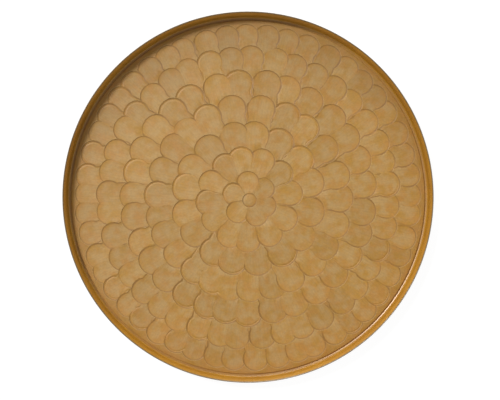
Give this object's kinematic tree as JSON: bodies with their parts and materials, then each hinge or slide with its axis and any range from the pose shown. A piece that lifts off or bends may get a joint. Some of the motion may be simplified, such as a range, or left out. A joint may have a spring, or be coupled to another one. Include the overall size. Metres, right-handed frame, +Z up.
{
  "type": "serving tray",
  "caption": "Round metal serving tray with a low leaning wall on a coved foot and a floor cut with rings of shallow overlapping petals, standing on felt pads.",
  "frame": {"origin": "on the table, on the tray's axis, level with the undersides of the pads", "axes": "+Z up, out of the tray's open side; +X and +Y across the tray, with +Y towards the top of the petal pattern as it is usually seen"},
  "size_m": [0.4, 0.4, 0.025],
  "materials": {
    "floor_finish": "matte gold lacquer over the cut relief, darker along the petals' edges",
    "rim_finish": "satin to glossy amber gold lacquer over smooth sheet",
    "felt": "dense brown wool felt"
  },
  "bodies": {
    "root": {"relief_floor": "floor_finish", "rim_band": "rim_finish", "pad_1": "felt", "pad_2": "felt", "pad_3": "felt", "pad_4": "felt", "pad_5": "felt", "pad_6": "felt"}
  },
  "joints": []
}
